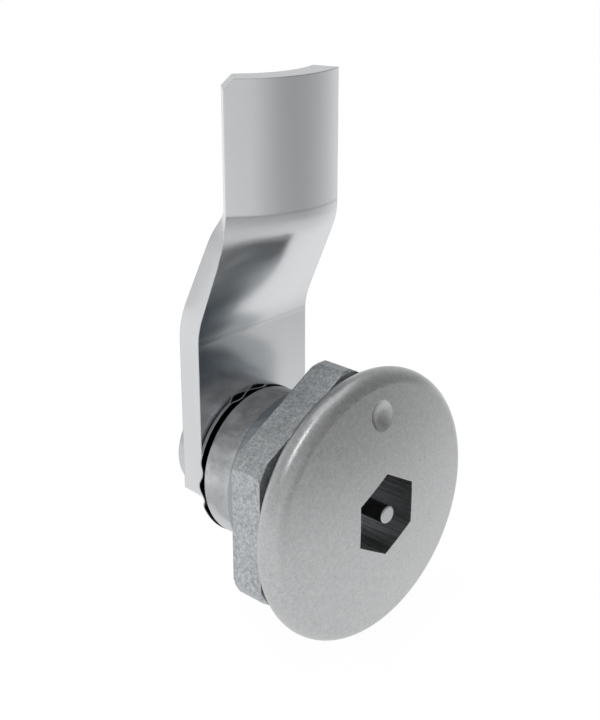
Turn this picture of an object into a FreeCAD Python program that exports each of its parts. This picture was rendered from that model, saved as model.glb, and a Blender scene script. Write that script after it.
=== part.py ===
import FreeCAD, Part
import math
import os

# A quarter-turn cam latch, in millimetres. +Z is up and the head faces -Y. The origin is on the axis of the
# spindle, in the plane where the front of the panel meets the gasket. At rest the cam stands straight up.

Vector = FreeCAD.Vector
AXIS = Vector(0, 1, 0)
UP = Vector(0, 0, 1)
CENTRE = Vector(0, 0, 0)

# Fits
running_clearance = 0.05
seat_clearance = 0.1
thread_clearance = 0.03
seal_clearance = 0.02
thrust_clearance = 0.05
wave_clearance = 0.03

# Key
key_size = 10.0
key_clearance = 0.05
key_depth = 10.0
security_pin_dia = 2.45
security_pin_root = 3.5
security_pin_chamfer = 0.15

# Head of the spindle
head_dia = 37.5
head_height = 7.25
dome_radius = 72.0
head_front_round = 2.2
head_to_panel = 1.0
mark_distance = 13.6
mark_dia = 4.1
mark_depth = 0.85

# Shaft of the spindle
shaft_dia = 16.0
shaft_chamfer = 0.4
square_size = 8.0
square_chamfer = 0.6

# Flange and barrel of the housing
flange_dia = 32.0
flange_thickness = 2.2
flange_edge = 0.4
flange_to_head = 0.35
thread_dia = 24.0
thread_length = 11.0
thread_chamfer = 0.8
flats_across = 22.6
barrel_dia = 21.5
barrel_length = 16.3
barrel_chamfer = 0.3

# Seals
gasket_thickness = 1.0
gasket_dia = 31.0
head_seal_section = 1.5
head_seal_mid_dia = 27.2
spindle_seal_section = 1.8
spindle_seal_place = 10.0
seal_groove_side = 0.15

# Stop
stop_pin_dia = 2.4
stop_pin_circle = 20.4
stop_pin_length = 5.4
stop_pin_proud = 1.5
stop_pin_chamfer = 0.2
stop_groove_spare = 0.3
stop_angle = 225.0
quarter_turn = 90.0

# Mounting nut
nut_across_flats = 32.0
nut_turned_dia = 36.1
nut_thickness = 5.0
nut_turned_chamfer = 0.35
nut_bore_chamfer = 0.9

# Wave washer
wave_washer_dia = 21.6
wave_washer_bore = 17.0
wave_washer_strip = 0.2
wave_washer_gap = 0.9
wave_crests = 4
wave_crest_angle = 97.0
wave_crest_step = 85.5
wave_crest_reach = 10.5
wave_return = 9.0
wave_split_angle = 4.0
wave_sections = 90

# Cam
cam_width = 20.2
cam_thickness = 3.6
cam_foot_corner = 2.2
cam_foot_depth = 7.6
cam_foot_flat = 9.0
cam_top = 53.95
cam_top_corner = 1.4
bend_low = 21.4
bend_high = 34.5
bend_radius_low = 8.0
bend_radius_high = 8.0
joggle = 6.75
nose_radius = 14.2
nose_centre = 5.2
nose_flank_angle = 38.5
nose_flank = 3.3
slant_flank_angle = 19.5
slant_flank = 8.5
curl_start = 32.4
cam_levels = 20
cam_points = 9

# Screw and its washer
screw_thread_dia = 6.0
screw_head_dia = 13.9
screw_head_height = 3.8
screw_head_edge = 0.5
screw_socket_size = 5.0
screw_socket_depth = 2.2
lock_washer_dia = 13.0
lock_washer_bore = 6.4
lock_washer_thickness = 1.5
lock_washer_split = 1.2
lock_washer_slant = 20.0
tapped_hole_spare = 1.0
spindle_web = 1.0

# How far a cutting shape reaches past the face that it opens, and the slope of a drilled hole's tip
overcut = 1.0
drill_tip_angle = 31.0

# Places along the axis, worked out from the sizes above
flange_back = -gasket_thickness
flange_front = flange_back - flange_thickness
recess_floor = flange_front - thrust_clearance
head_back = -head_to_panel
head_front = -head_height
cam_front = barrel_length + wave_washer_gap
cam_back = cam_front + cam_thickness
screw_seat = cam_back + lock_washer_thickness
socket_floor = head_front + key_depth
drill_tip_slope = math.tan(math.radians(drill_tip_angle))
pin_hole_end = socket_floor + security_pin_root
pin_hole_tip = pin_hole_end + security_pin_dia / 2 * drill_tip_slope
tapped_hole_r = screw_thread_dia / 2 + thread_clearance
tapped_hole_end = pin_hole_tip + spindle_web + tapped_hole_r * drill_tip_slope
screw_tip = tapped_hole_end + tapped_hole_spare
shaft_r = shaft_dia / 2
bore_r = shaft_r + running_clearance
head_r = head_dia / 2


def flat_point(r, y):
    return Vector(r, y, 0)


def turned(wire):
    """The solid that a closed outline in the X-Y plane makes, turned about the spindle's axis."""
    return Part.Face(wire).revolve(CENTRE, AXIS, 360)


def turned_outline(points):
    """A turned solid from the corners of its half section, each given as radius and place on the axis."""
    corners = [flat_point(r, y) for r, y in points]
    return turned(Part.makePolygon(corners + [corners[0]]))


def rod(dia, start, end, chamfer=0.0, front_chamfer=0.0):
    """A round bar on the axis, with its rear and front ends chamfered."""
    r = dia / 2
    points = [(0, start), (r - front_chamfer, start)]
    if front_chamfer:
        points.append((r, start + front_chamfer))
    if chamfer:
        points.append((r, end - chamfer))
    points += [(r - chamfer, end), (0, end)]
    return turned_outline(points)


def ring(outer_dia, inner_dia, start, end):
    return turned_outline([
        (inner_dia / 2, start),
        (outer_dia / 2, start),
        (outer_dia / 2, end),
        (inner_dia / 2, end),
    ])


def prism(sides, across_flats, start, end, first_corner=90.0):
    """A bar with flat sides on the axis, such as a hexagon, with one corner at the given angle."""
    r = across_flats / 2 / math.cos(math.pi / sides)
    corners = []
    for i in range(sides + 1):
        a = math.radians(first_corner + 360.0 * i / sides)
        corners.append(Vector(r * math.cos(a), start, r * math.sin(a)))
    return Part.Face(Part.makePolygon(corners)).extrude(Vector(0, end - start, 0))


def at_angle(radius, angle, y=0.0):
    """The point at a radius and an angle about the axis, measured from +X towards +Z."""
    a = math.radians(angle)
    return Vector(radius * math.cos(a), y, radius * math.sin(a))


def torus(mid_dia, section, y):
    return Part.makeTorus(mid_dia / 2, section / 2, Vector(0, y, 0), AXIS)


def dome_depth(r):
    """How far the domed face lies behind its middle at a radius."""
    return dome_radius - math.sqrt(dome_radius ** 2 - r ** 2)


def head_blank():
    """The domed head with its rounded rim, turned from its half section."""
    edge_r = head_r - head_front_round
    dome_centre = head_front + dome_radius
    inner = dome_radius - head_front_round
    edge_y = dome_centre - math.sqrt(inner ** 2 - edge_r ** 2)
    share = dome_radius / inner
    meet = flat_point(edge_r * share, dome_centre - (dome_centre - edge_y) * share)
    lean = math.atan2(edge_r, dome_centre - edge_y)
    middle_dome = lean / 2
    middle_edge = lean + (math.pi / 2 - lean) / 2
    dome_middle = flat_point(
        dome_radius * math.sin(middle_dome),
        dome_centre - dome_radius * math.cos(middle_dome),
    )
    edge_middle = flat_point(
        edge_r + head_front_round * math.sin(middle_edge),
        edge_y - head_front_round * math.cos(middle_edge),
    )
    apex = flat_point(0, head_front)
    widest = flat_point(head_r, edge_y)
    back_round = head_back - edge_y
    diagonal = back_round * math.sqrt(0.5)
    back_middle = flat_point(head_r - back_round, edge_y) + Vector(diagonal, diagonal, 0)
    back_end = flat_point(head_r - back_round, head_back)
    axis_back = flat_point(0, head_back)
    edges = [
        Part.Arc(apex, dome_middle, meet).toShape(),
        Part.Arc(meet, edge_middle, widest).toShape(),
        Part.Arc(widest, back_middle, back_end).toShape(),
        Part.makeLine(back_end, axis_back),
        Part.makeLine(axis_back, apex),
    ]
    return turned(Part.Wire(edges))


def stop_groove():
    """The quarter-turn groove in the head's back that the stop pin runs in."""
    mid_r = stop_pin_circle / 2
    half = stop_pin_dia / 2 + seat_clearance
    depth = stop_pin_proud + stop_groove_spare
    start = recess_floor - depth
    section = Part.makePolygon([
        flat_point(mid_r - half, start),
        flat_point(mid_r + half, start),
        flat_point(mid_r + half, recess_floor + depth),
        flat_point(mid_r - half, recess_floor + depth),
        flat_point(mid_r - half, start),
    ])
    band = Part.Face(section).revolve(CENTRE, AXIS, -quarter_turn)
    band.rotate(CENTRE, AXIS, -stop_angle)
    ends = []
    for angle in (stop_angle, stop_angle + quarter_turn):
        ends.append(Part.makeCylinder(half, 2 * depth, at_angle(mid_r, angle, start), AXIS))
    return band.fuse(ends)


def make_spindle():
    recess = ring(flange_dia + 2 * flange_to_head, shaft_dia, recess_floor, 0.0)
    shaft = rod(shaft_dia, head_back, cam_front, shaft_chamfer)
    square = prism(4, square_size, cam_front - square_chamfer, cam_back - 2 * seat_clearance, 45.0)
    trimmed = square.common(rod(
        square_size * math.sqrt(2) - 2 * square_chamfer,
        head_front,
        cam_back - 2 * seat_clearance,
        square_chamfer,
    ))
    seal_r = bore_r - seal_clearance
    groove_floor = seal_r - spindle_seal_section
    groove_half = spindle_seal_section / 2 + seal_groove_side
    seal_groove = ring(
        2 * shaft_dia,
        2 * groove_floor,
        spindle_seal_place - groove_half,
        spindle_seal_place + groove_half,
    )
    body = head_blank().cut(recess).fuse([shaft, trimmed]).removeSplitter()
    socket_across = key_size + 2 * key_clearance
    socket = prism(6, socket_across, head_front - overcut, socket_floor)
    pin_hole = turned_outline([
        (0, socket_floor - overcut),
        (security_pin_dia / 2, socket_floor - overcut),
        (security_pin_dia / 2, pin_hole_end),
        (0, pin_hole_tip),
    ])
    screw_hole = turned_outline([
        (0, pin_hole_tip + spindle_web),
        (tapped_hole_r, tapped_hole_end),
        (tapped_hole_r, cam_back - 2 * seat_clearance - shaft_chamfer),
        (tapped_hole_r + 2 * shaft_chamfer, cam_back + shaft_chamfer),
        (0, cam_back + shaft_chamfer),
    ])
    mark_r = (mark_dia ** 2 / 4 + mark_depth ** 2) / (2 * mark_depth)
    face_y = head_front + dome_depth(mark_distance)
    lean = math.asin(mark_distance / dome_radius)
    mark_centre = Vector(
        0,
        face_y - (mark_r - mark_depth) * math.cos(lean),
        mark_distance + (mark_r - mark_depth) * math.sin(lean),
    )
    mark = Part.makeSphere(mark_r, mark_centre)
    return body.cut([seal_groove, socket, pin_hole, screw_hole, mark, stop_groove()])


def make_security_pin():
    return rod(security_pin_dia, head_front, pin_hole_end, security_pin_chamfer, security_pin_chamfer)


def make_housing():
    flange_r = flange_dia / 2
    barrel_r = barrel_dia / 2
    thread_r = thread_dia / 2
    outline = [
        (bore_r + flange_edge, flange_front),
        (flange_r - flange_edge, flange_front),
        (flange_r, flange_front + flange_edge),
        (flange_r, flange_back),
        (thread_r, flange_back),
        (thread_r, thread_length - thread_chamfer),
        (thread_r - thread_chamfer, thread_length),
        (barrel_r, thread_length),
        (barrel_r, barrel_length - barrel_chamfer),
        (barrel_r - barrel_chamfer, barrel_length),
        (bore_r + barrel_chamfer, barrel_length),
        (bore_r, barrel_length - barrel_chamfer),
        (bore_r, flange_front + flange_edge),
    ]
    body = turned_outline(outline)
    beside = Part.makeBox(
        thread_dia,
        thread_length - flange_back,
        thread_dia,
        Vector(flats_across / 2, flange_back, -thread_r),
    )
    flats = [beside, beside.mirror(CENTRE, Vector(1, 0, 0))]
    groove = ring(
        head_seal_mid_dia + head_seal_section + 2 * seal_groove_side,
        head_seal_mid_dia - head_seal_section - 2 * seal_groove_side,
        flange_front - overcut,
        recess_floor + seal_clearance + head_seal_section,
    )
    pin_end = flange_front - stop_pin_proud + stop_pin_length
    pin_hole = Part.makeCylinder(
        stop_pin_dia / 2,
        pin_end - flange_front + overcut,
        at_angle(stop_pin_circle / 2, stop_angle, flange_front - overcut),
        AXIS,
    )
    return body.cut(flats + [groove, pin_hole])


def make_panel_gasket():
    return ring(gasket_dia, thread_dia + 2 * seat_clearance, flange_back, 0.0)


def make_head_seal():
    return torus(head_seal_mid_dia, head_seal_section, recess_floor + seal_clearance + head_seal_section / 2)


def make_spindle_seal():
    outer = 2 * (bore_r - seal_clearance)
    return torus(outer - spindle_seal_section, spindle_seal_section, spindle_seal_place)


def make_stop_pin():
    pin = rod(stop_pin_dia, 0.0, stop_pin_length, stop_pin_chamfer, stop_pin_chamfer)
    pin.translate(at_angle(stop_pin_circle / 2, stop_angle, flange_front - stop_pin_proud))
    return pin


def make_mounting_nut():
    blank = prism(6, nut_across_flats, 0.0, nut_thickness)
    blank = blank.common(rod(
        nut_turned_dia,
        0.0,
        nut_thickness,
        nut_turned_chamfer,
        nut_turned_chamfer,
    ))
    hole_r = thread_dia / 2 + thread_clearance
    bore = turned_outline([
        (0, -nut_bore_chamfer),
        (hole_r + 2 * nut_bore_chamfer, -nut_bore_chamfer),
        (hole_r, nut_bore_chamfer),
        (hole_r, nut_thickness - nut_bore_chamfer),
        (hole_r + 2 * nut_bore_chamfer, nut_thickness + nut_bore_chamfer),
        (0, nut_thickness + nut_bore_chamfer),
    ])
    return blank.cut(bore)


def wave_share(angle):
    """How far back the strip stands at an angle: 0 where it meets the barrel and 1 where it meets the cam."""
    nearest = min(abs(angle - wave_crest_angle - i * wave_crest_step) for i in range(wave_crests))
    if nearest < wave_crest_reach:
        return 0.5 + 0.5 * math.cos(math.pi * nearest / wave_crest_reach)
    if nearest < wave_crest_reach + wave_return:
        return 0.5 - 0.5 * math.cos(math.pi * (nearest - wave_crest_reach) / wave_return)
    return 1.0


def make_wave_washer():
    """A thin open ring, pressed into waves, that springs between the barrel and the cam."""
    half = wave_washer_strip / 2
    front = barrel_length + wave_clearance + half
    swing = wave_washer_gap - 2 * wave_clearance - wave_washer_strip
    inner = wave_washer_bore / 2
    outer = wave_washer_dia / 2
    plain = (360.0 - (wave_crests - 1) * wave_crest_step) / 2
    start = wave_crest_angle - plain + wave_split_angle / 2
    sections = []
    for i in range(wave_sections + 1):
        angle = start + (360.0 - wave_split_angle) * i / wave_sections
        y = front + swing * wave_share(angle)
        corners = [
            at_angle(inner, angle, y - half),
            at_angle(outer, angle, y - half),
            at_angle(outer, angle, y + half),
            at_angle(inner, angle, y + half),
        ]
        sections.append(Part.makePolygon(corners + [corners[0]]))
    return Part.makeLoft(sections, True, False)


def blend(z, low, high, reach_low, reach_high):
    """How far the arm has come forward at a height: 0 below the joggle, 1 above it, rounded at both bends."""
    rise = high - low
    if z <= low - reach_low:
        return 0.0
    if z < low + reach_low:
        return (z - low + reach_low) ** 2 / (4 * reach_low * rise)
    if z <= high - reach_high:
        return (z - low) / rise
    if z < high + reach_high:
        return 1.0 - (high + reach_high - z) ** 2 / (4 * reach_high * rise)
    return 1.0


def nose_point(share, offset, curl):
    """A point of the nose's plan, from its left end to its right end, at an offset behind its front face. A curl
    of 1 is the finished nose, and less leaves its left flank opened out towards the slant's angle."""
    centre_y = cam_front - joggle + nose_radius
    right = math.asin((cam_width / 2 - nose_centre) / nose_radius)
    left = math.radians(slant_flank_angle + curl * (nose_flank_angle - slant_flank_angle))
    flank = slant_flank + curl * (nose_flank - slant_flank)
    run = share * (flank + nose_radius * (left + right))
    r = nose_radius - offset
    if run < flank:
        back = flank - run
        x = nose_centre - r * math.sin(left) - back * math.cos(left)
        return x, centre_y - r * math.cos(left) + back * math.sin(left)
    a = (run - flank) / nose_radius - left
    return nose_centre + r * math.sin(a), centre_y - r * math.cos(a)


def arm_curve(z, forward, curl, offset):
    """The arm's front or back face at one height, as a curve from its left edge to its right edge."""
    points = []
    for i in range(cam_points):
        share = i / (cam_points - 1)
        flat_x = (share - 0.5) * cam_width
        flat_y = cam_front + offset
        nose_x, nose_y = nose_point(share, offset, curl)
        points.append(Vector(
            flat_x + forward * (nose_x - flat_x),
            flat_y + forward * (nose_y - flat_y),
            z,
        ))
    curve = Part.BSplineCurve()
    curve.interpolate(points)
    return curve.toShape(), points[0], points[-1]


def arm_section(z, forward_front, forward_back, curl):
    front, front_left, front_right = arm_curve(z, forward_front, curl, 0.0)
    back, back_left, back_right = arm_curve(z, forward_back, curl, cam_thickness)
    return Part.Wire([
        front,
        Part.makeLine(front_right, back_right),
        back,
        Part.makeLine(back_left, front_left),
    ])


def leading_corner():
    """What is cut off the nose at the top of its leading edge, square to the flank."""
    x, y = nose_point(0.0, 0.0, 1.0)
    tip = Vector(x, y, cam_top)
    a = math.radians(nose_flank_angle)
    along = Vector(math.cos(a), -math.sin(a), 0) * cam_top_corner
    behind = Vector(math.sin(a), math.cos(a), 0)
    down = UP * -cam_top_corner
    outline = [tip + along, tip + along - down, tip - along - down, tip - along + down, tip + down, tip + along]
    wedge = Part.Face(Part.makePolygon(outline)).extrude(behind * (cam_thickness + 2 * overcut))
    wedge.translate(behind * -overcut)
    return wedge


def make_cam():
    lean = math.atan2(joggle, bend_high - bend_low)
    half_turn = math.tan(lean / 2)
    step = cam_thickness * half_turn
    reach_low = bend_radius_low * half_turn
    reach_high = bend_radius_high * half_turn
    reach_low_back = (bend_radius_low + cam_thickness) * half_turn
    reach_high_back = (bend_radius_high - cam_thickness) * half_turn
    start = bend_low - reach_low
    end = bend_high + reach_high
    sections = []
    for i in range(cam_levels + 1):
        z = start + (end - start) * i / cam_levels
        curled = min(1.0, max(0.0, (z - curl_start) / (end - curl_start)))
        sections.append(arm_section(
            z,
            blend(z, bend_low, bend_high, reach_low, reach_high),
            blend(z, bend_low + step, bend_high + step, reach_low_back, reach_high_back),
            (3.0 - 2.0 * curled) * curled ** 2,
        ))
    joggled = Part.makeLoft(sections, True, False)
    half = cam_width / 2
    foot = [
        Vector(-half, cam_front, start),
        Vector(-half, cam_front, -cam_foot_corner),
        Vector(-half + cam_foot_depth, cam_front, -cam_foot_flat),
        Vector(half - cam_foot_depth, cam_front, -cam_foot_flat),
        Vector(half, cam_front, -cam_foot_corner),
        Vector(half, cam_front, start),
        Vector(-half, cam_front, start),
    ]
    plate = Part.Face(Part.makePolygon(foot)).extrude(Vector(0, cam_thickness, 0))
    nose = Part.Face(arm_section(end, 1.0, 1.0, 1.0)).extrude(Vector(0, 0, cam_top - end))
    arm = plate.fuse([joggled, nose])
    hole = prism(4, square_size + 2 * seat_clearance, cam_front - overcut, cam_back + overcut, 45.0)
    return arm.cut([hole, leading_corner()])


def make_lock_washer():
    washer = ring(lock_washer_dia, lock_washer_bore, cam_back, screw_seat)
    reach = lock_washer_thickness + overcut
    slot = Part.makeBox(
        lock_washer_split,
        2 * reach,
        lock_washer_dia,
        Vector(-lock_washer_split / 2, -reach, 0),
    )
    slot.rotate(CENTRE, UP, lock_washer_slant)
    slot.translate(Vector(0, cam_back + lock_washer_thickness / 2, 0))
    return washer.cut(slot)


def make_cam_screw():
    head_end = screw_seat + screw_head_height
    head = rod(screw_head_dia, screw_seat, head_end, screw_head_edge)
    thread = rod(screw_thread_dia, screw_tip, screw_seat, 0.0, screw_head_edge)
    socket = prism(6, screw_socket_size, head_end - screw_socket_depth, head_end + overcut)
    return head.fuse(thread).cut(socket).removeSplitter()


pieces = {
    "spindle": make_spindle,
    "security_pin": make_security_pin,
    "housing": make_housing,
    "panel_gasket": make_panel_gasket,
    "head_seal": make_head_seal,
    "spindle_seal": make_spindle_seal,
    "stop_pin": make_stop_pin,
    "mounting_nut": make_mounting_nut,
    "wave_washer": make_wave_washer,
    "cam": make_cam,
    "lock_washer": make_lock_washer,
    "cam_screw": make_cam_screw,
}

os.makedirs("parts", exist_ok=True)
for name, make in pieces.items():
    shape = make()
    shape.exportStep("parts/" + name + ".step")
    print(name, "solids", len(shape.Solids), "valid", shape.isValid(), "volume", round(shape.Volume, 2))
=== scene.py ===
import math

import bpy
from bpy.props import FloatProperty, FloatVectorProperty, PointerProperty
from mathutils import Matrix, Vector


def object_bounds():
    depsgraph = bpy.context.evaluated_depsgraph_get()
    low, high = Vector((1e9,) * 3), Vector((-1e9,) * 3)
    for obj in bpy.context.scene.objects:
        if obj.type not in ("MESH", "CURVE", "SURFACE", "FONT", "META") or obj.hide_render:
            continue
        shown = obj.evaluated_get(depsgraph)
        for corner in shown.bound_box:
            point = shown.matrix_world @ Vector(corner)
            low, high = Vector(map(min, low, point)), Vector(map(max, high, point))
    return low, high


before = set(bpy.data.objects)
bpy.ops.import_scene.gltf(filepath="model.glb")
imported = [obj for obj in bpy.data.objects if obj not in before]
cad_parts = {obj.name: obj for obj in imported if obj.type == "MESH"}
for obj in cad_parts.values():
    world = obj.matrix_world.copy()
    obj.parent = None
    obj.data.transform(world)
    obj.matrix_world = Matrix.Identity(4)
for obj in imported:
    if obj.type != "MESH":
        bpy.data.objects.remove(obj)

bl_info = {
    "name": "Quarter-turn cam latch",
    "version": (1, 0, 0),
    "blender": (4, 5, 0),
    "location": "View3D > Sidebar > Latch",
    "description": "Finishes for the latch's solids, and the stage that it is shown on",
    "category": "Object",
}

CAD_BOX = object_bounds()
MM = 0.001

# The cam's upper bend: where it ends, its length, the flank's slope, and how fast the slant's lean grows per
# metre below the end, on the axis and per metre to the right of it
BEND_TOP = 36.44 * MM
BEND_LENGTH = 3.9 * MM
FLANK_SLOPE = 0.354
BEND_LEAN_AT_AXIS = 98.0
BEND_LEAN_PER_METRE = 3600.0

# Where the evened sheen of that bend fades in from below, and fades out at the crease and to the right
BEND_FADE_LOW = (29.6 * MM, 31.4 * MM)
BEND_FADE_HIGH = (36.4 * MM, 36.6 * MM)
BEND_FADE_RIGHT = (-0.6 * MM, 1.6 * MM)

# Below these, the Y of a surface's direction belongs to the front of the arm and to the nut's front face
ARM_FRONT = -0.3
NUT_FRONT = -0.9

# The key socket's reach from the axis to a flat, and its depth behind the panel's front
SOCKET_REACH = 5.06 * MM
SOCKET_END = 3.0 * MM

# The barrel's step between its smooth and its wide part, beyond which painted shade darkens the barrel, and
# the security pin's front face, behind which painted shade darkens the pins
BARREL_STEP = 11.0 * MM
PIN_FRONT = -7.1 * MM

# Where painted shade darkens a thin line across the arm, along the crease of its upper and its lower bend
UPPER_CREASE_SHADE = 36.5 * MM
LOWER_CREASE_SHADE = 19.9 * MM

# How much a hand mark adds to the roughness, as a share of its strength
SMUDGE_DULLNESS = 0.35

# The stage, in metres: the two lamps, and where the floor begins to darken
SIDE_LAMP_PLACE, SIDE_LAMP_SIZE = (-0.34, 0.0, 0.49), (0.035, 0.36)
TOP_LAMP_PLACE, TOP_LAMP_SIZE = (0.05, 0.1, 0.5), (0.4, 0.4)
FALL_START = 0.02

# How far towards the dark side the light begins to fall, as a cosine, and between which heights the sky
# changes, as sines
DARK_SIDE_START = 0.3
SKY_LOW_END, SKY_HIGH_START = 0.15, 0.75

WHITE = (1.0, 1.0, 1.0, 1.0)

GRAIN_VALUES = ("Scale", "Coarse Scale", "Coarse Share", "Contrast")


# Small helpers that build shader trees

def add_node(tree, kind, values=None, **settings):
    """A new node, with its settings and the values of its unlinked inputs."""
    made = tree.nodes.new(kind)
    for name, value in settings.items():
        setattr(made, name, value)
    for name, value in (values or {}).items():
        made.inputs[name].default_value = value
    return made


def link(tree, start, end):
    tree.links.new(start, end)


def worked_out(tree, operation, *terms):
    """A math node's output. Each term is a socket or a number."""
    made = add_node(tree, "ShaderNodeMath", operation=operation)
    for term, socket in zip(terms, made.inputs):
        if isinstance(term, float):
            socket.default_value = term
        else:
            link(tree, term, socket)
    return made.outputs["Value"]


def object_part(tree, kind, axis):
    """One coordinate of the surface's place (Object) or direction (Normal) in the object's own frame, or of
    a direction into the sky (Generated)."""
    place = add_node(tree, "ShaderNodeTexCoord")
    apart = add_node(tree, "ShaderNodeSeparateXYZ")
    link(tree, place.outputs[kind], apart.inputs["Vector"])
    return apart.outputs[axis]


def ranged(tree, value, low, high, start=0.0, end=1.0):
    """A straight step between two values, from low to high."""
    limits = {"From Min": start, "From Max": end, "To Min": low, "To Max": high}
    change = add_node(tree, "ShaderNodeMapRange", limits)
    link(tree, value, change.inputs["Value"])
    return change.outputs["Result"]


def ramp(tree, value, start, end, low=0.0, high=1.0):
    """A smooth step between two values, from low to high."""
    smooth = ranged(tree, value, low, high, start, end)
    smooth.node.interpolation_type = "SMOOTHSTEP"
    return smooth


def scaled_place(tree, scale):
    """The surface's place in the object's own frame, scaled along each axis."""
    place = add_node(tree, "ShaderNodeTexCoord")
    scaled = add_node(tree, "ShaderNodeVectorMath", operation="MULTIPLY")
    scaled.inputs[1].default_value = scale
    link(tree, place.outputs["Object"], scaled.inputs[0])
    return scaled.outputs["Vector"]


def new_group(name, inputs, outputs):
    """An empty shader group with named sockets, and its two end nodes."""
    group = bpy.data.node_groups.new(name, "ShaderNodeTree")
    for label, value in inputs:
        socket = group.interface.new_socket(name=label, in_out="INPUT", socket_type="NodeSocketFloat")
        socket.default_value = value
    for label, kind in outputs:
        group.interface.new_socket(name=label, in_out="OUTPUT", socket_type=kind)
    return group, group.nodes.new("NodeGroupInput"), group.nodes.new("NodeGroupOutput")


def grain_group():
    """Fine cast or plated grain: a mask about 0.5 and a height, from two sizes of noise."""
    if "Grain" in bpy.data.node_groups:
        return bpy.data.node_groups["Grain"]
    group, given, result = new_group(
        "Grain",
        list(zip(GRAIN_VALUES, (4000.0, 1200.0, 0.5, 1.5))),
        [("Mask", "NodeSocketFloat"), ("Height", "NodeSocketFloat")],
    )
    place = add_node(group, "ShaderNodeTexCoord")
    fine = add_node(group, "ShaderNodeTexNoise", {"Detail": 3.0, "Roughness": 0.6})
    coarse = add_node(group, "ShaderNodeTexNoise", {"Detail": 2.0, "Roughness": 0.55})
    for noise, scale in ((fine, "Scale"), (coarse, "Coarse Scale")):
        link(group, place.outputs["Object"], noise.inputs["Vector"])
        link(group, given.outputs[scale], noise.inputs["Scale"])
    both = add_node(group, "ShaderNodeMix")
    link(group, given.outputs["Coarse Share"], both.inputs["Factor"])
    link(group, fine.outputs["Fac"], both.inputs["A"])
    link(group, coarse.outputs["Fac"], both.inputs["B"])
    centred = worked_out(group, "SUBTRACT", both.outputs["Result"], 0.5)
    spread = worked_out(group, "MULTIPLY_ADD", centred, given.outputs["Contrast"], 0.5)
    spread.node.use_clamp = True
    link(group, spread, result.inputs["Mask"])
    link(group, both.outputs["Result"], result.inputs["Height"])
    return group


def edge_group():
    """A rounded normal along sharp edges, and a mask that is 1 along them, where a painted highlight
    lightens the colour.
    """
    if "Rounded edge and painted highlight" in bpy.data.node_groups:
        return bpy.data.node_groups["Rounded edge and painted highlight"]
    group, given, result = new_group(
        "Rounded edge and painted highlight",
        [("Radius", 0.2 * MM), ("Gain", 6.0)],
        [("Mask", "NodeSocketFloat"), ("Normal", "NodeSocketVector")],
    )
    bevel = add_node(group, "ShaderNodeBevel", samples=6)
    surface = add_node(group, "ShaderNodeNewGeometry")
    turned = add_node(group, "ShaderNodeVectorMath", operation="DOT_PRODUCT")
    link(group, given.outputs["Radius"], bevel.inputs["Radius"])
    link(group, bevel.outputs["Normal"], turned.inputs[0])
    link(group, surface.outputs["Normal"], turned.inputs[1])
    away = worked_out(group, "SUBTRACT", 1.0, turned.outputs["Value"])
    gained = worked_out(group, "MULTIPLY", away, given.outputs["Gain"])
    gained.node.use_clamp = True
    link(group, gained, result.inputs["Mask"])
    link(group, bevel.outputs["Normal"], result.inputs["Normal"])
    return group


def handling_group():
    """Broad soft marks, as left by hands and plating: a mask from 0 to 1."""
    if "Handling" in bpy.data.node_groups:
        return bpy.data.node_groups["Handling"]
    group, given, result = new_group(
        "Handling",
        [("Scale", 120.0), ("Stretch", 1.0)],
        [("Mask", "NodeSocketFloat")],
    )
    together = add_node(group, "ShaderNodeCombineXYZ")
    for axis in ("X", "Y"):
        link(group, object_part(group, "Object", axis), together.inputs[axis])
    longer = worked_out(group, "DIVIDE", object_part(group, "Object", "Z"), given.outputs["Stretch"])
    link(group, longer, together.inputs["Z"])
    noise = add_node(group, "ShaderNodeTexNoise", {"Detail": 2.5, "Roughness": 0.5, "Distortion": 0.4})
    link(group, together.outputs["Vector"], noise.inputs["Vector"])
    link(group, given.outputs["Scale"], noise.inputs["Scale"])
    link(group, ramp(group, noise.outputs["Fac"], 0.3, 0.7), result.inputs["Mask"])
    return group


def place_group(tree, group, values):
    return add_node(tree, "ShaderNodeGroup", values, node_tree=group)


def shade(colour, gain):
    return tuple(min(1.0, part * gain) for part in colour[:3]) + (1.0,)


def mixed_colour(tree, mask, dark, light):
    mix = add_node(tree, "ShaderNodeMix", data_type="RGBA")
    mix.inputs["A"].default_value = dark
    mix.inputs["B"].default_value = light
    link(tree, mask, mix.inputs["Factor"])
    return mix.outputs["Result"]


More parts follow.
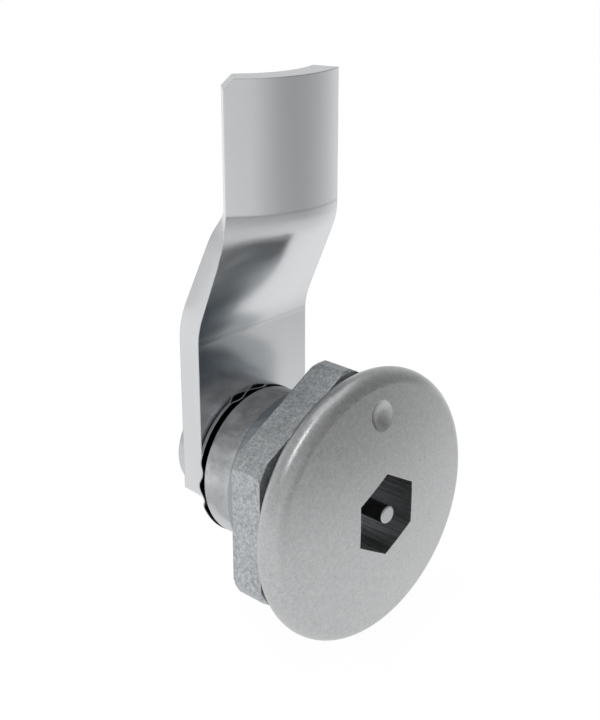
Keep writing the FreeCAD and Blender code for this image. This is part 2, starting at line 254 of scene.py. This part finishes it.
def metal(
    name, colour, roughness, grain, spread, bump, edge_radius, edge_gain=1.25, handling=(120.0, 1.0, 0.0)
):
    """A bare or plated metal. grain holds the two noise scales, the coarse share and the contrast. spread is
    how far the grain changes colour and roughness. bump is a strength and a depth. handling holds a scale, a
    stretch and a strength."""
    material = bpy.data.materials.new(name)
    material.use_nodes = True
    tree = material.node_tree
    shader = tree.nodes["Principled BSDF"]
    shader.inputs["Metallic"].default_value = 1.0
    grains = place_group(tree, grain_group(), dict(zip(GRAIN_VALUES, grain)))
    edges = place_group(tree, edge_group(), {"Radius": edge_radius, "Gain": 5.0})
    marks = place_group(tree, handling_group(), {"Scale": handling[0], "Stretch": handling[1]})
    dark, light = shade(colour, 1.0 - spread[0]), shade(colour, 1.0 + spread[0])
    body = mixed_colour(tree, grains.outputs["Mask"], dark, light)
    clouded = add_node(tree, "ShaderNodeMix", data_type="RGBA", blend_type="MULTIPLY")
    clouded.inputs["Factor"].default_value = 1.0
    tone = ranged(tree, marks.outputs["Mask"], 1.0 - handling[2], 1.0)
    link(tree, body, clouded.inputs["A"])
    link(tree, tone, clouded.inputs["B"])
    # Painted highlight: a lighter colour along sharp edges, the finish's colour times edge_gain
    edge_highlight = add_node(tree, "ShaderNodeMix", data_type="RGBA")
    edge_highlight.inputs["B"].default_value = shade(colour, edge_gain)
    link(tree, edges.outputs["Mask"], edge_highlight.inputs["Factor"])
    link(tree, clouded.outputs["Result"], edge_highlight.inputs["A"])
    link(tree, edge_highlight.outputs["Result"], shader.inputs["Base Color"])
    rough = ranged(tree, grains.outputs["Mask"], roughness - spread[1], roughness + spread[1])
    smudged = worked_out(tree, "MULTIPLY_ADD", marks.outputs["Mask"], SMUDGE_DULLNESS * handling[2], rough)
    link(tree, smudged, shader.inputs["Roughness"])
    relief = add_node(tree, "ShaderNodeBump", {"Strength": bump[0], "Distance": bump[1]})
    link(tree, grains.outputs["Height"], relief.inputs["Height"])
    link(tree, edges.outputs["Normal"], relief.inputs["Normal"])
    link(tree, relief.outputs["Normal"], shader.inputs["Normal"])
    return material


def tint_where(material, mask, colour):
    """Another base colour where a mask is 1."""
    tree = material.node_tree
    base = tree.nodes["Principled BSDF"].inputs["Base Color"]
    tinted = add_node(tree, "ShaderNodeMix", data_type="RGBA")
    tinted.inputs["B"].default_value = colour
    link(tree, mask, tinted.inputs["Factor"])
    link(tree, base.links[0].from_socket, tinted.inputs["A"])
    link(tree, tinted.outputs["Result"], base)


def dull_where(material, mask, roughness):
    """Another roughness where a mask is 1."""
    tree = material.node_tree
    rough = tree.nodes["Principled BSDF"].inputs["Roughness"]
    mix = add_node(tree, "ShaderNodeMix", {"B": roughness})
    link(tree, mask, mix.inputs["Factor"])
    link(tree, rough.links[0].from_socket, mix.inputs["A"])
    link(tree, mix.outputs["Result"], rough)


def socket_mask(tree):
    """1 on the walls and floor of the hexagon key socket."""
    place = add_node(tree, "ShaderNodeTexCoord")
    reaches = []
    for turn in (0.0, 60.0, 120.0):
        across = add_node(tree, "ShaderNodeVectorMath", operation="DOT_PRODUCT")
        link(tree, place.outputs["Object"], across.inputs[0])
        across.inputs[1].default_value = (math.cos(math.radians(turn)), 0.0, math.sin(math.radians(turn)))
        reaches.append(worked_out(tree, "ABSOLUTE", across.outputs["Value"]))
    farthest = worked_out(tree, "MAXIMUM", worked_out(tree, "MAXIMUM", reaches[0], reaches[1]), reaches[2])
    inside = worked_out(tree, "LESS_THAN", farthest, SOCKET_REACH)
    in_head = worked_out(tree, "LESS_THAN", object_part(tree, "Object", "Y"), SOCKET_END)
    return worked_out(tree, "MULTIPLY", inside, in_head)


def broach_marks(tree):
    """Fine lines along the spindle's axis, as a mask from 0 to 1."""
    lines = add_node(tree, "ShaderNodeTexNoise", {"Scale": 3200.0, "Detail": 3.0})
    link(tree, scaled_place(tree, (1.0, 0.04, 1.0)), lines.inputs["Vector"])
    return ranged(tree, lines.outputs["Fac"], 0.0, 1.0, 0.38, 0.62)


def beyond_radius(tree, radius):
    """1 where the surface is farther than a radius from the spindle's axis."""
    reach = add_node(tree, "ShaderNodeVectorMath", operation="LENGTH")
    link(tree, scaled_place(tree, (1.0, 0.0, 1.0)), reach.inputs[0])
    return worked_out(tree, "GREATER_THAN", reach.outputs["Value"], radius)


def facing_front(tree, limit):
    """1 where the surface faces the panel's outside: its direction's Y lies below a limit."""
    return worked_out(tree, "LESS_THAN", object_part(tree, "Normal", "Y"), limit)


def crease_shade_line(tree, height, reach):
    """Painted shade along a bend's crease: a thin line across the front of the arm, 1 at a height and 0
    beyond its reach.
    """
    above = worked_out(tree, "SUBTRACT", object_part(tree, "Object", "Z"), height)
    line = ramp(tree, worked_out(tree, "ABSOLUTE", above), 0.0, reach, 1.0, 0.0)
    return worked_out(tree, "MULTIPLY", line, facing_front(tree, ARM_FRONT))


def straighten_bend(material):
    """Evens out the sheen of the arm's upper bend at its left, where the flank begins to curl. The slant's
    normal there turns steadily upright towards the nose, up to the crease."""
    tree = material.node_tree
    x = object_part(tree, "Object", "X")
    z = object_part(tree, "Object", "Z")
    lean = worked_out(tree, "MULTIPLY_ADD", x, BEND_LEAN_PER_METRE, BEND_LEAN_AT_AXIS)
    below = worked_out(tree, "MAXIMUM", worked_out(tree, "SUBTRACT", BEND_TOP, z), 0.0)
    below = worked_out(tree, "MINIMUM", below, BEND_LENGTH)
    tilt = worked_out(tree, "MULTIPLY", worked_out(tree, "MULTIPLY", lean, below), -1.0)
    wanted = add_node(tree, "ShaderNodeCombineXYZ", {"X": -FLANK_SLOPE, "Y": -1.0})
    link(tree, tilt, wanted.inputs["Z"])
    turned = add_node(
        tree, "ShaderNodeVectorTransform", vector_type="NORMAL", convert_from="OBJECT", convert_to="WORLD")
    link(tree, wanted.outputs["Vector"], turned.inputs["Vector"])
    share = facing_front(tree, ARM_FRONT)
    for part in (
        ramp(tree, z, *BEND_FADE_LOW),
        ramp(tree, z, *BEND_FADE_HIGH, 1.0, 0.0),
        ramp(tree, x, *BEND_FADE_RIGHT, 1.0, 0.0),
    ):
        share = worked_out(tree, "MULTIPLY", share, part)
    relief = tree.nodes["Bump"].inputs["Normal"]
    both = add_node(tree, "ShaderNodeMix", data_type="VECTOR")
    link(tree, share, both.inputs["Factor"])
    link(tree, relief.links[0].from_socket, both.inputs["A"])
    link(tree, turned.outputs["Vector"], both.inputs["B"])
    level = add_node(tree, "ShaderNodeVectorMath", operation="NORMALIZE")
    link(tree, both.outputs["Result"], level.inputs[0])
    link(tree, level.outputs["Vector"], relief)


def dress(names, material):
    """Gives a finish to CAD nodes whose shape is right as it is."""
    for name in names:
        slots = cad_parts[name].material_slots
        if not slots:
            raise RuntimeError("the node has no material slot: " + name)
        for slot in slots:
            slot.material = material


def finishes():
    return bpy.context.scene.latch_finishes


def stage_values():
    return bpy.context.scene.latch_stage


class LATCH_PG_finishes(bpy.types.PropertyGroup):
    """Colours and roughnesses of the latch's finishes, with the painted shade on the barrel's wider part and
    on the wave washer.
    """
    head_colour: FloatVectorProperty(
        name="Head", description="Satin plating of the head", subtype="COLOR", size=4,
        min=0.0, max=1.0, default=(0.515, 0.52, 0.525, 1.0))
    head_roughness: FloatProperty(
        name="Head roughness", description="How dull the head is", subtype="FACTOR",
        min=0.0, max=1.0, default=0.33)
    barrel_colour: FloatVectorProperty(
        name="Barrel", description="Smooth plating of the barrel", subtype="COLOR", size=4,
        min=0.0, max=1.0, default=(0.56, 0.575, 0.59, 1.0))
    # Painted shade, not a plating: the darker bluish colour on the barrel's wider part, next to the nut
    wide_part_shade_colour: FloatVectorProperty(
        name="Wide part shade", description="Painted shade on the barrel's wider part", subtype="COLOR", size=4,
        min=0.0, max=1.0, default=(0.33, 0.37, 0.4, 1.0))
    nut_colour: FloatVectorProperty(
        name="Nut", description="Mottled zinc of the nut", subtype="COLOR", size=4,
        min=0.0, max=1.0, default=(0.49, 0.512, 0.525, 1.0))
    cam_colour: FloatVectorProperty(
        name="Cam", description="Bright plating of the cam", subtype="COLOR", size=4,
        min=0.0, max=1.0, default=(0.70, 0.71, 0.725, 1.0))
    cam_roughness: FloatProperty(
        name="Cam roughness", description="How dull the cam is", subtype="FACTOR",
        min=0.0, max=1.0, default=0.19)
    # Painted shade, not the steel's own colour: the near-black on the wave washer's faces
    washer_shade_colour: FloatVectorProperty(
        name="Spring", description="Painted shade on the wave washer", subtype="COLOR", size=4,
        min=0.0, max=1.0, default=(0.03, 0.03, 0.032, 1.0))
    screw_colour: FloatVectorProperty(
        name="Screw", description="Plating of the screw and its washer", subtype="COLOR", size=4,
        min=0.0, max=1.0, default=(0.6, 0.61, 0.62, 1.0))
    rubber_colour: FloatVectorProperty(
        name="Rubber", description="Gasket and seals", subtype="COLOR", size=4,
        min=0.0, max=1.0, default=(0.02, 0.02, 0.02, 1.0))


class LATCH_PG_stage(bpy.types.PropertyGroup):
    """Light, floor and camera."""
    floor_width: FloatProperty(
        name="Floor width", description="Side of the square floor", unit="LENGTH", default=3.0)
    floor_glow: FloatProperty(
        name="Floor glow", description="Share of the floor's look that is plain white",
        min=0.0, max=1.0, default=0.92)
    floor_white: FloatProperty(
        name="Floor white", description="Strength of the plain white that the camera sees",
        min=0.0, default=1.045)
    floor_dark_side: FloatVectorProperty(
        name="Floor's dark side", description="Level direction in which the floor reflects darkest",
        subtype="DIRECTION", default=(0.35, -0.94, 0.0))
    sky_dark_side: FloatVectorProperty(
        name="Sky's dark side", description="Direction in which the sky is darkest",
        subtype="DIRECTION", default=(0.6, -0.8, 0.0))
    floor_fall: FloatProperty(
        name="Floor fall", description="How much of the floor's brightness is lost on its dark side",
        min=0.0, max=1.0, default=0.55)
    fall_reach: FloatProperty(
        name="Fall reach", description="Distance over which the floor darkens",
        unit="LENGTH", default=130.0 * MM)
    sky_low: FloatProperty(
        name="Sky at the horizon", description="World strength just above the floor",
        min=0.0, default=0.72)
    sky_high: FloatProperty(
        name="Sky overhead", description="World strength straight up", min=0.0, default=0.45)
    sky_fall: FloatProperty(
        name="Sky fall", description="How much of the sky's strength is lost on the dark side",
        min=0.0, max=1.0, default=0.62)
    side_lamp: FloatProperty(
        name="Side lamp", description="Power of the soft lamp on the left",
        unit="POWER", min=0.0, default=0.35)
    top_lamp: FloatProperty(
        name="Top lamp", description="Power of the soft lamp overhead",
        unit="POWER", min=0.0, default=0.25)
    camera_place: FloatVectorProperty(
        name="Camera", description="Where the camera stands", subtype="TRANSLATION", unit="LENGTH",
        default=(-0.11894, -0.10589, 0.08353))
    camera_azimuth: FloatProperty(
        name="Azimuth", description="Direction of the camera about the vertical", subtype="ANGLE",
        default=math.radians(-46.12))
    camera_elevation: FloatProperty(
        name="Elevation", description="Height of the camera above the horizon", subtype="ANGLE",
        default=math.radians(21.90))
    camera_lens: FloatProperty(
        name="Lens", description="Focal length in millimetres for a picture 36 mm high", default=67.46)


class LATCH_OT_head(bpy.types.Operator):
    """Satin head of the spindle, with painted light in its key socket: a paler colour on the socket's walls
    and floor
    """
    bl_idname = "latch.head"
    bl_label = "Head and spindle"

    def execute(self, context):
        values = finishes()
        material = metal(
            "Satin plating", values.head_colour, values.head_roughness,
            (3300.0, 1600.0, 0.4, 2.6), (0.165, 0.06), (0.2, 0.05 * MM), 0.12 * MM)
        tree = material.node_tree
        inside = socket_mask(tree)
        # Painted light: a paler base colour on the key socket's walls and floor, which sets how bright they
        # look in the socket's shade
        tint_where(material, inside, (0.8, 0.81, 0.82, 1.0))
        drawn = worked_out(tree, "MULTIPLY", inside, broach_marks(tree))
        tint_where(material, drawn, (0.5, 0.505, 0.51, 1.0))
        dress(["spindle"], material)
        return {"FINISHED"}


class LATCH_OT_pins(bpy.types.Operator):
    """Security pin in the key socket and stop pin in the flange, with painted shade on both behind the
    security pin's front face
    """
    bl_idname = "latch.pins"
    bl_label = "Pins"

    def execute(self, context):
        material = metal(
            "Pin steel", (0.5, 0.51, 0.52), 0.35,
            (3500.0, 1500.0, 0.4, 1.5), (0.08, 0.05), (0.08, 0.03 * MM), 0.12 * MM)
        tree = material.node_tree
        # Painted shade: near-black on every pin surface behind the security pin's front face, whose sides
        # lie deep in the key socket
        pin_painted_shade = worked_out(tree, "GREATER_THAN", object_part(tree, "Object", "Y"), PIN_FRONT)
        tint_where(material, pin_painted_shade, (0.1, 0.1, 0.105, 1.0))
        dress(["security_pin", "stop_pin"], material)
        return {"FINISHED"}


class LATCH_OT_barrel(bpy.types.Operator):
    """Plated housing with its flange and barrel, with painted shade on the barrel's wider part"""
    bl_idname = "latch.barrel"
    bl_label = "Housing"

    def execute(self, context):
        values = finishes()
        material = metal(
            "Barrel plating", values.barrel_colour, 0.2,
            (2600.0, 330.0, 0.9, 1.6), (0.05, 0.04), (0.6, 0.6 * MM), 0.2 * MM,
            handling=(270.0, 1.0, 0.32))
        # Painted shade: a darker bluish colour on the barrel's wider part, next to the nut
        tint_where(material, beyond_radius(material.node_tree, BARREL_STEP), values.wide_part_shade_colour)
        dress(["housing"], material)
        return {"FINISHED"}


class LATCH_OT_nut(bpy.types.Operator):
    """Mounting nut with mottled zinc"""
    bl_idname = "latch.nut"
    bl_label = "Mounting nut"

    def execute(self, context):
        material = metal(
            "Mottled zinc", finishes().nut_colour, 0.4,
            (3400.0, 1700.0, 0.5, 3.2), (0.32, 0.08), (0.35, 0.07 * MM), 0.2 * MM, edge_gain=1.1,
            handling=(260.0, 1.0, 0.12))
        dull_where(material, facing_front(material.node_tree, NUT_FRONT), 0.8)
        dress(["mounting_nut"], material)
        return {"FINISHED"}


class LATCH_OT_cam(bpy.types.Operator):
    """Bright plated cam arm"""
    bl_idname = "latch.cam"
    bl_label = "Cam"

    def execute(self, context):
        values = finishes()
        material = metal(
            "Cam plating", values.cam_colour, values.cam_roughness,
            (2500.0, 600.0, 0.5, 1.2), (0.025, 0.02), (0.04, 0.03 * MM), 0.22 * MM, edge_gain=1.0,
            handling=(90.0, 3.0, 0.06))
        tree = material.node_tree
        # Painted shade: darker lines along the creases of the upper and the lower bend
        upper = crease_shade_line(tree, UPPER_CREASE_SHADE, 0.35 * MM)
        tint_where(material, upper, shade(values.cam_colour, 0.84))
        lower = crease_shade_line(tree, LOWER_CREASE_SHADE, 0.4 * MM)
        tint_where(material, lower, shade(values.cam_colour, 0.92))
        straighten_bend(material)
        dress(["cam"], material)
        return {"FINISHED"}


class LATCH_OT_wave_washer(bpy.types.Operator):
    """Wave washer with painted shade on its faces and a painted highlight on its edges"""
    bl_idname = "latch.wave_washer"
    bl_label = "Wave washer"

    def execute(self, context):
        # Painted shade: the washer's faces get a near-black colour
        material = metal(
            "Spring steel", finishes().washer_shade_colour, 0.35,
            (4000.0, 900.0, 0.5, 1.5), (0.15, 0.05), (0.05, 0.02 * MM), 0.04 * MM, edge_gain=3.0)
        tree = material.node_tree
        along = worked_out(tree, "ABSOLUTE", object_part(tree, "Normal", "Y"))
        # Painted highlight: a pale colour on the washer's edges, where its direction's Y is small
        tint_where(material, worked_out(tree, "LESS_THAN", along, 0.5), (0.55, 0.56, 0.58, 1.0))
        dress(["wave_washer"], material)
        return {"FINISHED"}


class LATCH_OT_screw(bpy.types.Operator):
    """Cam screw and its split lock washer"""
    bl_idname = "latch.screw"
    bl_label = "Screw and lock washer"

    def execute(self, context):
        dress(["cam_screw", "lock_washer"], metal(
            "Screw plating", finishes().screw_colour, 0.25,
            (3500.0, 900.0, 0.5, 1.4), (0.05, 0.04), (0.06, 0.03 * MM), 0.15 * MM,
            handling=(300.0, 1.0, 0.08)))
        return {"FINISHED"}


class LATCH_OT_seals(bpy.types.Operator):
    """Rubber gasket and the two ring seals"""
    bl_idname = "latch.seals"
    bl_label = "Gasket and seals"

    def execute(self, context):
        material = bpy.data.materials.new("Black rubber")
        material.use_nodes = True
        tree = material.node_tree
        shader = tree.nodes["Principled BSDF"]
        shader.inputs["IOR"].default_value = 1.5
        grains = place_group(tree, grain_group(), dict(zip(GRAIN_VALUES, (3000.0, 700.0, 0.4, 1.8))))
        colour = finishes().rubber_colour
        link(tree, mixed_colour(tree, grains.outputs["Mask"], shade(colour, 0.7), shade(colour, 1.5)),
             shader.inputs["Base Color"])
        link(tree, ranged(tree, grains.outputs["Mask"], 0.55, 0.75), shader.inputs["Roughness"])
        relief = add_node(tree, "ShaderNodeBump", {"Strength": 0.2, "Distance": 0.03 * MM})
        link(tree, grains.outputs["Height"], relief.inputs["Height"])
        link(tree, relief.outputs["Normal"], shader.inputs["Normal"])
        dress(["panel_gasket", "head_seal", "spindle_seal"], material)
        return {"FINISHED"}


def dark_share(tree, place, dark_side, start):
    """How far a place or direction lies towards the dark side, from 0 to 1."""
    level = add_node(tree, "ShaderNodeVectorMath", operation="NORMALIZE")
    along = add_node(tree, "ShaderNodeVectorMath", operation="DOT_PRODUCT")
    link(tree, place, level.inputs[0])
    link(tree, level.outputs["Vector"], along.inputs[0])
    along.inputs[1].default_value = dark_side
    return ranged(tree, along.outputs["Value"], 0.0, 1.0, start)


def kept_light(tree, share, fall):
    """What is left of 1 where a share of the fall is taken off."""
    return worked_out(tree, "SUBTRACT", 1.0, worked_out(tree, "MULTIPLY", share, fall))


def make_floor():
    values = stage_values()
    half = values.floor_width / 2
    z = CAD_BOX[0][2]
    mesh = bpy.data.meshes.new("floor")
    corners = [(-half, -half, z), (half, -half, z), (half, half, z), (-half, half, z)]
    mesh.from_pydata(corners, [], [(0, 1, 2, 3)])
    floor = bpy.data.objects.new("floor", mesh)
    bpy.context.scene.collection.objects.link(floor)
    material = bpy.data.materials.new("Pale floor")
    material.use_nodes = True
    tree = material.node_tree
    shader = tree.nodes["Principled BSDF"]
    shader.inputs["Base Color"].default_value = (0.9, 0.9, 0.9, 1.0)
    shader.inputs["Roughness"].default_value = 0.9
    shader.inputs["Specular IOR Level"].default_value = 0.0
    rays = add_node(tree, "ShaderNodeLightPath")
    seen = worked_out(tree, "MAXIMUM", rays.outputs["Is Camera Ray"], rays.outputs["Is Glossy Ray"])
    seen = worked_out(tree, "MAXIMUM", seen, rays.outputs["Is Transmission Ray"])
    surface = add_node(tree, "ShaderNodeNewGeometry")
    away = add_node(tree, "ShaderNodeVectorMath", operation="LENGTH")
    link(tree, surface.outputs["Position"], away.inputs[0])
    distance = ranged(tree, away.outputs["Value"], 0.0, 1.0, FALL_START, values.fall_reach)
    side = dark_share(tree, surface.outputs["Position"], values.floor_dark_side, DARK_SIDE_START)
    share = worked_out(tree, "MULTIPLY", side, distance)
    mirrored = kept_light(tree, share, values.floor_fall)
    glow = add_node(tree, "ShaderNodeEmission")
    plain = worked_out(tree, "MULTIPLY", rays.outputs["Is Camera Ray"], values.floor_white)
    link(tree, worked_out(tree, "MAXIMUM", mirrored, plain), glow.inputs["Strength"])
    mix = add_node(tree, "ShaderNodeMixShader")
    link(tree, worked_out(tree, "MULTIPLY", seen, values.floor_glow), mix.inputs["Fac"])
    link(tree, shader.outputs["BSDF"], mix.inputs[1])
    link(tree, glow.outputs["Emission"], mix.inputs[2])
    link(tree, mix.outputs["Shader"], tree.nodes["Material Output"].inputs["Surface"])
    mesh.materials.append(material)


def make_world():
    values = stage_values()
    world = bpy.data.worlds.new("Studio")
    bpy.context.scene.world = world
    world.use_nodes = True
    tree = world.node_tree
    sky = tree.nodes["Background"]
    place = add_node(tree, "ShaderNodeTexCoord")
    height = object_part(tree, "Generated", "Z")
    climb = ramp(tree, height, SKY_LOW_END, SKY_HIGH_START, values.sky_low, values.sky_high)
    side = dark_share(tree, place.outputs["Generated"], values.sky_dark_side, DARK_SIDE_START)
    kept = kept_light(tree, side, values.sky_fall)
    link(tree, worked_out(tree, "MULTIPLY", climb, kept), sky.inputs["Strength"])
    sky.inputs["Color"].default_value = WHITE
    white = add_node(tree, "ShaderNodeBackground", {"Color": WHITE, "Strength": 1.0})
    rays = add_node(tree, "ShaderNodeLightPath")
    mix = add_node(tree, "ShaderNodeMixShader")
    link(tree, rays.outputs["Is Camera Ray"], mix.inputs["Fac"])
    link(tree, sky.outputs["Background"], mix.inputs[1])
    link(tree, white.outputs["Background"], mix.inputs[2])
    link(tree, mix.outputs["Shader"], tree.nodes["World Output"].inputs["Surface"])


def make_lamp(name, place, size, power):
    """A soft oblong lamp that faces the latch's origin."""
    data = bpy.data.lights.new(name, "AREA")
    data.shape = "RECTANGLE"
    data.size, data.size_y = size
    data.energy = power
    lamp = bpy.data.objects.new(name, data)
    lamp.location = place
    lamp.rotation_euler = (-Vector(place)).to_track_quat("-Z", "Y").to_euler()
    bpy.context.scene.collection.objects.link(lamp)


def make_camera():
    values = stage_values()
    azimuth, elevation = values.camera_azimuth, values.camera_elevation
    back = Vector((
        math.sin(azimuth) * math.cos(elevation),
        -math.cos(azimuth) * math.cos(elevation),
        math.sin(elevation),
    ))
    right = Vector((math.cos(azimuth), math.sin(azimuth), 0.0))
    data = bpy.data.cameras.new("camera")
    data.sensor_fit = "VERTICAL"
    data.sensor_height = 36.0
    data.lens = values.camera_lens
    data.clip_start = 1.0 * MM
    camera = bpy.data.objects.new("camera", data)
    turn = Matrix((right, back.cross(right), back)).transposed().to_4x4()
    camera.matrix_world = Matrix.Translation(values.camera_place) @ turn
    bpy.context.scene.collection.objects.link(camera)
    bpy.context.scene.camera = camera


class LATCH_OT_stage(bpy.types.Operator):
    """Floor, world, lamps and camera"""
    bl_idname = "latch.stage"
    bl_label = "Stage"

    def execute(self, context):
        values = stage_values()
        make_floor()
        make_world()
        make_lamp("side lamp", SIDE_LAMP_PLACE, SIDE_LAMP_SIZE, values.side_lamp)
        make_lamp("top lamp", TOP_LAMP_PLACE, TOP_LAMP_SIZE, values.top_lamp)
        make_camera()
        context.scene.view_settings.view_transform = "Standard"
        return {"FINISHED"}


OPERATORS = (
    LATCH_OT_head,
    LATCH_OT_pins,
    LATCH_OT_barrel,
    LATCH_OT_nut,
    LATCH_OT_cam,
    LATCH_OT_wave_washer,
    LATCH_OT_screw,
    LATCH_OT_seals,
    LATCH_OT_stage,
)


class LATCH_PT_panel(bpy.types.Panel):
    """Steps that dress and stage the latch"""
    bl_idname = "LATCH_PT_panel"
    bl_label = "Cam latch"
    bl_space_type = "VIEW_3D"
    bl_region_type = "UI"
    bl_category = "Latch"

    def draw(self, context):
        for step in OPERATORS:
            self.layout.operator(step.bl_idname)


CLASSES = (LATCH_PG_finishes, LATCH_PG_stage, *OPERATORS, LATCH_PT_panel)


def register():
    for made in CLASSES:
        bpy.utils.register_class(made)
    bpy.types.Scene.latch_finishes = PointerProperty(type=LATCH_PG_finishes)
    bpy.types.Scene.latch_stage = PointerProperty(type=LATCH_PG_stage)


def unregister():
    del bpy.types.Scene.latch_stage
    del bpy.types.Scene.latch_finishes
    for made in reversed(CLASSES):
        bpy.utils.unregister_class(made)


def main():
    register()
    for step in OPERATORS:
        family, action = step.bl_idname.split(".")
        getattr(getattr(bpy.ops, family), action)()


if __name__ == "__main__":
    main()
